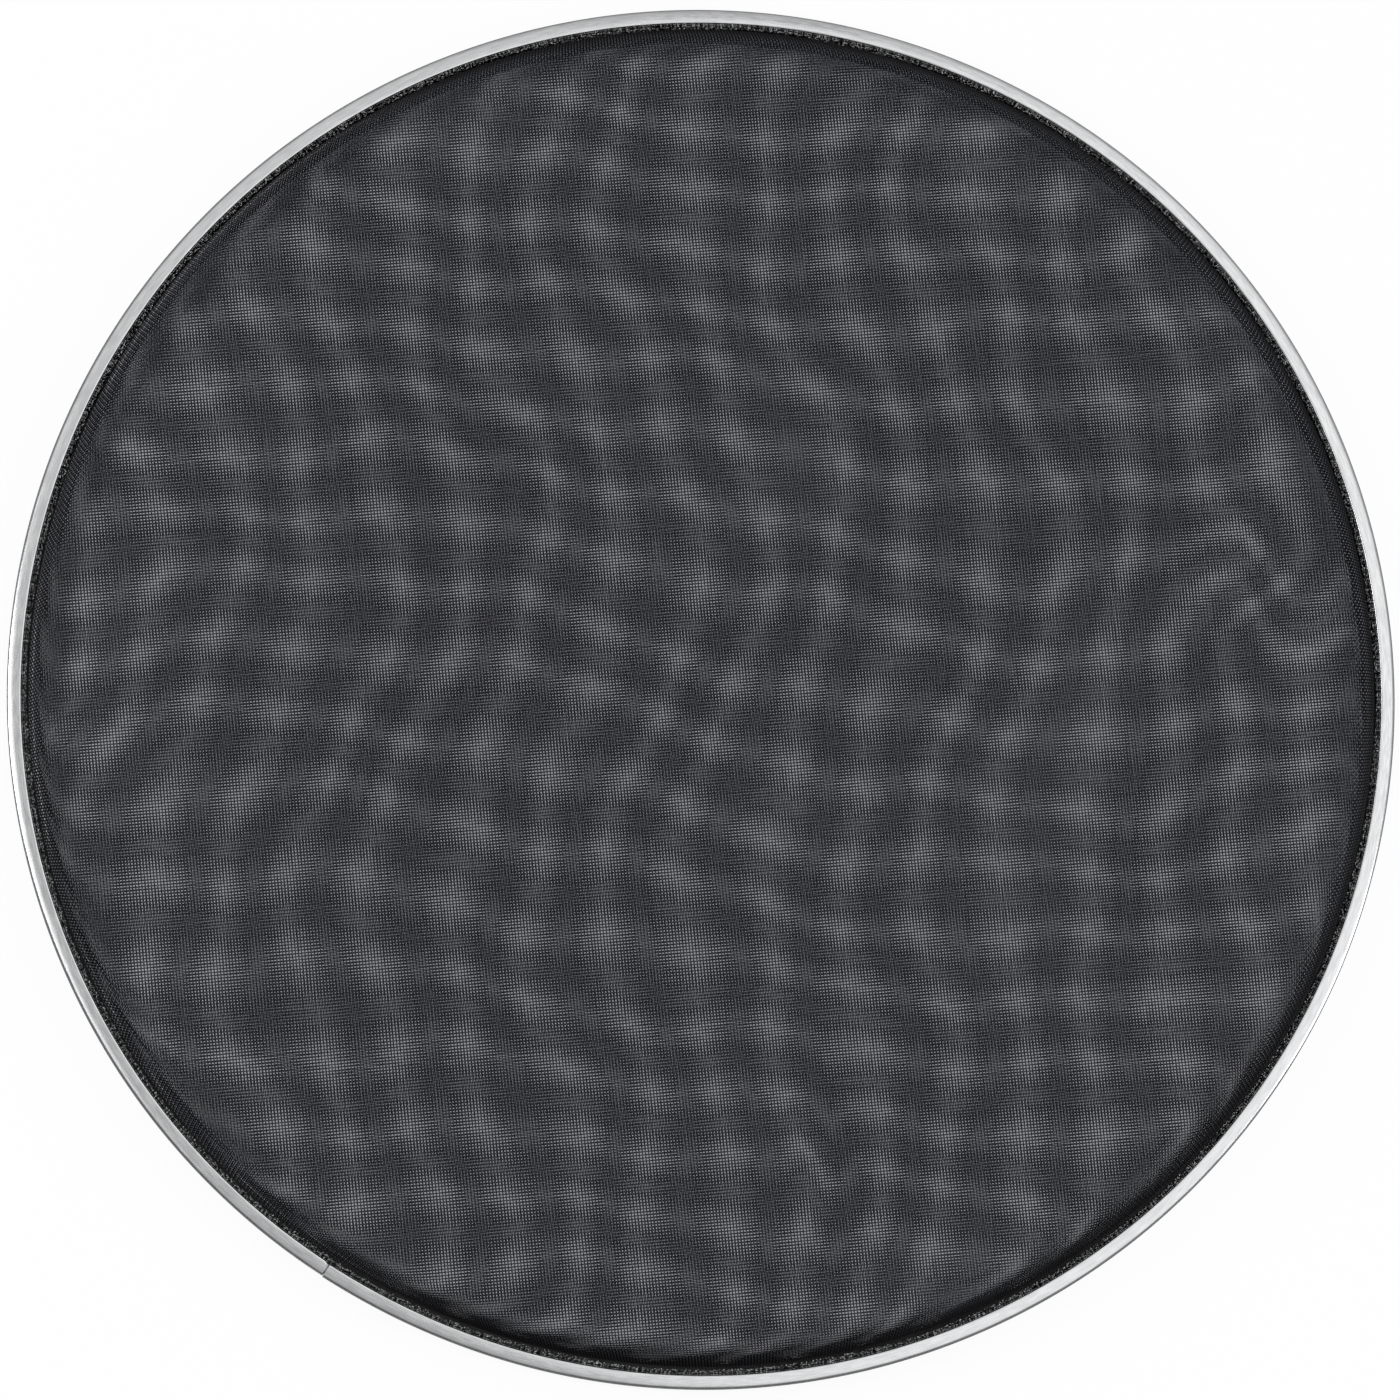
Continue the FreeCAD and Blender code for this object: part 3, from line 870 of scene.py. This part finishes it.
@dataclass
class Filaments:
    """Thin threads of three sides, all drawn out together from their cut ends.

    The rails are the corners' places, by station, thread and corner. The cloth holds each station's warp
    and weft number and its set, and the shade one random share for each thread.
    """

    rails: np.ndarray
    cloth: np.ndarray
    shade: np.ndarray
    crease: float = 150.0

    def draw(self, name: str, material: bpy.types.Material) -> bpy.types.Object:
        """Draws the threads from station to station.

        Args:
            name: The piece's name.
            material: Its finish.

        Returns:
            The piece.
        """
        bm = bmesh.new()
        order = bm.verts.layers.int.new("order")
        cloth = bm.verts.layers.float_vector.new(CLOTH)
        shade = bm.verts.layers.float.new(SHADE)
        for thread in range(self.rails.shape[1]):
            start = bmesh.ops.create_circle(bm, cap_ends=True, segments=THREAD_SIDES, radius=MM)["verts"]
            for corner, vert in enumerate(start):
                vert[order] = thread * THREAD_SIDES + corner
                vert[shade] = self.shade[thread]
        self.move(bm.verts, 0, order, cloth)
        ring = bm.edges[:]
        for station in range(1, self.rails.shape[0]):
            grown = bmesh.ops.extrude_edge_only(bm, edges=ring)["geom"]
            self.move([g for g in grown if isinstance(g, bmesh.types.BMVert)], station, order, cloth)
            ring = [g for g in grown if isinstance(g, bmesh.types.BMEdge)]
        bmesh.ops.holes_fill(bm, edges=ring, sides=THREAD_SIDES)
        bmesh.ops.recalc_face_normals(bm, faces=bm.faces[:])
        bm.verts.layers.int.remove(order)
        self.add_bake_map(bm)
        return make_piece(bm, name, material, self.crease)

    def move(self, verts: Iterable[bmesh.types.BMVert], station: int, order: bmesh.types.BMLayerItem,
             cloth: bmesh.types.BMLayerItem) -> None:
        """Moves the newest ring of each thread to its station.

        Args:
            verts: The ring's vertices.
            station: The station's number.
            order: The layer with each vertex's number.
            cloth: The layer that keeps each vertex's place on the cloth.
        """
        places = self.rails[station].reshape(-1, 3)
        for vert in verts:
            number = vert[order]
            vert.co = places[number]
            vert[cloth] = self.cloth[station, number // THREAD_SIDES]

    @staticmethod
    def add_bake_map(bm: bmesh.types.BMesh) -> None:
        """Maps the piece as it is seen from above.

        Args:
            bm: The threads, changed here.
        """
        layer = bm.loops.layers.uv.new(BAKE_MAP)
        size = 2.0 * max(abs(c) for v in bm.verts for c in v.co.xy) * BAKE_MARGIN
        for face in bm.faces:
            for loop in face.loops:
                loop[layer].uv = (loop.vert.co.x / size + 0.5, loop.vert.co.y / size + 0.5)


@dataclass
class MeshPly:
    """One ply of the playing surface, woven from black filament. Sizes in millimetres."""

    name: str
    node: str
    depth: float
    lay: Lay
    cut_radius: float
    seed: int
    warp_pitch: float = 0.83
    weft_pitch: float = 0.83
    thread_width: float = 0.295
    thread_height: float = 0.26
    collar_widening: float = -0.35
    flat_runs: int = 8
    inner_share: float = 0.12
    spacing_jitter: float = 0.02
    edge_margin: float = 1.0
    end_margin: float = 0.5
    collar: Collar = field(default_factory=Collar)

    def stations(self, offsets: np.ndarray) -> np.ndarray:
        """Distances along each thread at which it bends, from end to end.

        Args:
            offsets: The threads' distances from the middle.

        Returns:
            One row for each station.
        """
        breaks = self.collar.breaks()[:, None]
        reach = np.sqrt(np.maximum(breaks ** 2 - offsets ** 2, 0.0))
        spread = np.linspace(1.0, self.inner_share, len(breaks))[:, None]
        reach = np.maximum(reach, reach[0] * spread)
        inner = np.linspace(-1.0, 1.0, self.flat_runs + 1)[1:-1, None] * reach[-1]
        return np.concatenate([-reach, inner, reach[::-1]])

    def thread_set(self, which: ThreadSet, draw: np.random.Generator) -> Filaments:
        """Lays one set of threads.

        Args:
            which: Warp or weft.
            draw: The ply's own random numbers.

        Returns:
            The threads.
        """
        is_warp = which is ThreadSet.WARP
        pitches = (self.warp_pitch, self.weft_pitch)
        pitch, cross_pitch = pitches if is_warp else pitches[::-1]
        foot = self.collar.breaks()[0]
        count = int((foot - self.edge_margin) / pitch)
        numbers = np.arange(-count, count + 1)
        offsets = (numbers + draw.normal(0.0, self.spacing_jitter, len(numbers))) * pitch
        offsets = np.clip(offsets, self.end_margin - foot, foot - self.end_margin)
        runs = self.stations(offsets)[:, :, None]
        width = 1.0 + self.collar_widening * self.collar.crowding(np.hypot(runs, offsets[None, :, None]))
        side = CORNERS_ASIDE * self.thread_width * width
        lift = CORNERS_LIFT * self.thread_height - self.depth + which.value
        own = offsets[None, :, None] + side
        runs, own = np.broadcast_arrays(runs, own)
        across, along = (own, runs) if is_warp else (runs, own)
        x, y = self.lay.place(across, along)
        rails = self.collar.drape(x, y, np.broadcast_to(lift, x.shape))
        whole = np.broadcast_to(numbers.astype(float), runs.shape[:2])
        gone = runs[:, :, 0] / cross_pitch
        first, second = (whole, gone) if is_warp else (gone, whole)
        kind = np.full(whole.shape, 0.0 if is_warp else 1.0)
        return Filaments(rails, np.stack([first, second, kind], axis=-1), draw.random(len(numbers)))

    def build(self, material: bpy.types.Material) -> bpy.types.Object:
        """Weaves the ply.

        Args:
            material: The filament's finish.

        Returns:
            The ply's piece.
        """
        draw = np.random.default_rng(self.seed)
        warp, weft = (self.thread_set(which, draw) for which in ThreadSet)
        both = Filaments(
            np.concatenate([warp.rails, weft.rails], axis=1),
            np.concatenate([warp.cloth, weft.cloth], axis=1),
            np.concatenate([warp.shade, weft.shade]))
        return mount_piece(both.draw(self.name, material), "mesh_black", self.node)

    def declare(self, piece: bpy.types.Object, cut_edge: bpy.types.Object) -> None:
        """Does nothing with the ply, which is cloth cut to a disc and stretched.

        Args:
            piece: The ply; not used.
            cut_edge: Its frayed edge; not used.
        """


@dataclass
class CutEdge:
    """The frayed cut edge of a ply, which stands up in the groove beside the band. Sizes in millimetres.

    The ends lean inwards in tufts, which two waves round the hoop make. The stations are shares of an
    end's length, and its half width is a share of the width that grows by the flare from foot to tip.
    """

    name: str
    tail_radius: float
    lean: float
    seed: int
    count: int = 4600
    foot_height: float = 5.8
    tip_low: float = 8.3
    tip_high: float = 9.6
    tip_power: float = 0.8
    width: float = 0.25
    width_limits: Limits = (0.75, 1.2)
    foot_share: float = 0.42
    flare: float = 0.08
    jitter: float = 0.4
    sway: float = 0.45
    tufts_round: tuple[int, int] = (23, 7)
    tuft_phases: Limits = (0.0, 6.0)
    least_lean: float = 0.45
    lean_power: float = 1.6
    stations: tuple[float, ...] = (0.0, 0.55, 1.0)
    inner_limit: float = 180.35
    outer_limit: float = 181.78

    def build(self, material: bpy.types.Material) -> bpy.types.Object:
        """Sets the thread ends round the groove.

        Args:
            material: Their finish.

        Returns:
            The edge's piece.
        """
        draw = np.random.default_rng(self.seed)
        step = 2.0 * math.pi / self.count
        bearing = (np.arange(self.count) + draw.uniform(-self.jitter, self.jitter, self.count)) * step
        first, second = (np.sin(bearing * n + draw.uniform(*self.tuft_phases)) for n in self.tufts_round)
        wave = 0.5 + 0.5 * first * second
        lean = self.lean * draw.random(self.count) * (self.least_lean + (1.0 - self.least_lean) * wave)
        tip = self.tip_low + (self.tip_high - self.tip_low) * draw.random(self.count) ** self.tip_power
        sway = draw.normal(0.0, self.sway, self.count) / self.tail_radius
        share = np.array(self.stations)[:, None]
        turn = bearing + sway * share ** 2
        radius = self.tail_radius - lean * share ** self.lean_power
        radius = np.clip(radius, self.inner_limit, self.outer_limit)
        height = self.foot_height + (tip - self.foot_height) * share
        half = self.width * (self.foot_share + self.flare * share)
        half = half * draw.uniform(*self.width_limits, self.count)
        spin = draw.uniform(0.0, 2.0 * math.pi, self.count)
        rails = []
        for corner in range(THREAD_SIDES):
            angle = spin + corner * 2.0 * math.pi / THREAD_SIDES
            out = radius + half * np.cos(angle)
            bend = turn + half * np.sin(angle) / self.tail_radius
            rails.append(np.stack([out * np.cos(bend), out * np.sin(bend), height], axis=-1))
        rails = np.stack(rails, axis=2) * MM
        edge = Filaments(rails, np.zeros_like(rails[:, :, 0]), draw.random(self.count))
        return mount_piece(edge.draw(self.name, material), "mesh_black")


@dataclass
class InnerParts:
    """The parts inside the hoop that keep their CAD shape: key, core wire and adhesive."""

    finishes: dict = field(default_factory=lambda: {
        # The joint key's colours are darkened as painted shade in the joint gap.
        "joint_key": DrawnSteel(
            "shaded_sheared_steel", clean=(0.34, 0.34, 0.35), tarnish=(0.18, 0.17, 0.16), roughness=0.42),
        "core_wire": DrawnSteel(
            "drawn_wire", clean=(0.58, 0.58, 0.59), tarnish=(0.30, 0.28, 0.26), roughness=0.26),
        "adhesive_bead": CuredAdhesive(),
    })

    def dress(self, nodes: dict) -> None:
        """Gives each part its finish.

        Args:
            nodes: The CAD nodes by name.
        """
        for name, finish in self.finishes.items():
            nodes[name].data.materials.clear()
            nodes[name].data.materials.append(finish.material())
            report(nodes[name])


@dataclass(frozen=True)
class Softbox:
    """A rectangular studio light, in metres and watts."""

    name: str
    place: Place
    aim: Place
    width: float
    height: float
    watts: float

    def build(self) -> None:
        """Hangs the light and turns it to its aim."""
        data = bpy.data.lights.new(self.name, "AREA")
        data.shape = "RECTANGLE"
        data.size, data.size_y, data.energy = self.width, self.height, self.watts
        light = bpy.data.objects.new(self.name, data)
        light.location = self.place
        light.rotation_euler = (Vector(self.aim) - Vector(self.place)).to_track_quat("-Z", "Y").to_euler()
        bpy.context.scene.collection.objects.link(light)


@dataclass
class Studio:
    """The floor, the lights and the camera, which looks almost straight down.

    Sizes and places are in metres, angles in degrees, and lens and sensor in millimetres. The camera leans
    by its tilt to an azimuth that is counted clockwise from the head's right.
    """

    floor_side: float = 6.0
    ambient: float = 0.62
    darkest: float = 0.12
    from_above: float = 0.70
    from_right: float = 0.25
    from_back: float = 0.35
    room_limits: Limits = (-0.2, 0.8)
    tilt: float = 7.07
    azimuth: float = 111.15
    lens: float = 135.0
    sensor: float = 36.0
    view_width: float = 374.7 * MM
    aim: Place = (-0.0013, -0.0029, 0.009)
    lights: tuple[Softbox, ...] = (
        Softbox(
            "overhead_right", place=(0.645, -0.14, 1.50), aim=(0.645, -0.14, 0.0),
            width=1.26, height=1.26, watts=3.4),
        Softbox(
            "overhead_back", place=(-0.45, 0.61, 1.50), aim=(-0.45, 0.61, 0.0),
            width=0.9, height=0.8, watts=0.56),
        Softbox(
            "overhead_corner", place=(0.55, 0.68, 1.50), aim=(0.55, 0.68, 0.0),
            width=0.6, height=0.46, watts=0.43),
        Softbox(
            "high_left", place=(-0.80, 0.12, 1.50), aim=(-0.80, 0.12, 0.0),
            width=0.50, height=0.9, watts=1.5),
        Softbox(
            "left_side", place=(-1.25, 0.10, 0.95), aim=(0.0, 0.0, 0.0),
            width=0.35, height=1.3, watts=9.0),
        Softbox(
            "right_side", place=(1.30, -0.40, 0.80), aim=(0.0, 0.0, 0.0),
            width=0.4, height=1.2, watts=7.0),
    )

    def build_floor(self) -> None:
        """Lays the floor."""
        bm = bmesh.new()
        bmesh.ops.create_grid(bm, x_segments=1, y_segments=1, size=self.floor_side / 2)
        make_piece(bm, "floor", PaleFloor().material())

    def build_world(self) -> None:
        """Fills the room with soft light that falls off to the front left and to the floor."""
        world = bpy.data.worlds.new("room")
        bpy.context.scene.world = world
        tree = ShaderTree(world)
        right, back, up = tree.object_place()
        facing = up * self.from_above + right * self.from_right + back * self.from_back
        level = facing.ramp(*self.room_limits, self.darkest, self.ambient)
        light = tree.node("ShaderNodeBackground", {}, {"Color": WHITE, "Strength": level})
        tree.node("ShaderNodeOutputWorld", {}, {0: light})

    def build_camera(self) -> None:
        """Sets the camera over the head."""
        data = bpy.data.cameras.new("camera")
        data.lens, data.sensor_width = self.lens, self.sensor
        tilt, azimuth = math.radians(self.tilt), math.radians(self.azimuth)
        aside = Vector((math.cos(azimuth), -math.sin(azimuth), 0.0))
        back = aside * math.sin(tilt) + Vector((0.0, 0.0, math.cos(tilt)))
        right = Vector((0.0, 1.0, 0.0)).cross(back).normalized()
        camera = bpy.data.objects.new("camera", data)
        camera.location = Vector(self.aim) + back * (self.view_width * self.lens / self.sensor)
        camera.rotation_euler = Matrix((right, back.cross(right), back)).transposed().to_euler()
        bpy.context.scene.collection.objects.link(camera)
        bpy.context.scene.camera = camera

    def build(self) -> None:
        """Builds the whole studio."""
        bpy.context.scene.view_settings.view_transform = "Standard"
        self.build_floor()
        self.build_world()
        for light in self.lights:
            light.build()
        self.build_camera()


LOWER_LAY = Lay(turn=6.85, slide=(-0.50, 0.12), pulls=(
    Ripple(length=560.0, bearing=14.0, phase=8.0, warp=1.54),
    Ripple(length=215.0, bearing=118.0, phase=188.0, warp=0.23),
    Ripple(length=167.0, bearing=97.0, phase=180.0, weft=-0.30),
    Ripple(length=240.0, bearing=78.0, phase=234.0, weft=-0.22),
    Ripple(length=74.0, bearing=32.0, phase=70.0, warp=0.10, weft=0.05),
    Ripple(length=61.0, bearing=141.0, phase=15.0, warp=0.03, weft=0.10),
    Ripple(length=47.0, bearing=68.0, phase=205.0, warp=-0.07, weft=0.06),
    Ripple(length=39.0, bearing=172.0, phase=120.0, warp=0.05, weft=-0.06),
    Dent(x=150.0, y=27.0, spread_x=11.0, spread_y=13.0, warp=0.9, weft=1.1),
    Dent(x=29.5, y=-127.0, spread_x=4.0, spread_y=16.0, warp=0.45),
))


def main() -> None:
    """Builds the head piece by piece."""
    logging.basicConfig(level=logging.INFO, format="%(message)s")
    Hoop().build()
    InnerParts().dress(frame["nodes"])
    frayed = FrayedEnds().material()
    dusty = DarkFilament(
        "dusty_filament", valley=(0.007, 0.0075, 0.0100), tone_and_highlight=(0.122, 0.126, 0.152),
        dust=(0.128, 0.132, 0.155), collar_highlight=(0.50, 0.51, 0.56))
    # The lower ply's filament is a darker copy of the upper's: painted shade, for the lower ply lies under
    # the upper.
    clean = DarkFilament(
        "shaded_lower_filament", valley=(0.002, 0.002, 0.0025), tone_and_highlight=(0.006, 0.006, 0.0075),
        dust=(0.010, 0.0105, 0.0125), collar_highlight=(0.012, 0.012, 0.014))
    upper = MeshPly("upper_mesh", "upper_ply", depth=0.125, lay=Lay(turn=4.5), cut_radius=201.6, seed=11)
    lower = MeshPly(
        "lower_mesh", "lower_ply", depth=0.475, lay=LOWER_LAY, cut_radius=202.2, seed=12,
        warp_pitch=0.8324, weft_pitch=0.8264, flat_runs=16)
    upper_edge = CutEdge("upper_cut_edge", tail_radius=181.30, lean=0.95, seed=21)
    lower_edge = CutEdge("lower_cut_edge", tail_radius=181.68, lean=0.75, seed=22)
    for ply, filament, edge in ((upper, dusty, upper_edge), (lower, clean, lower_edge)):
        ply.declare(ply.build(filament.material()), edge.build(frayed))
    Studio().build()


if __name__ == "__main__":
    main()
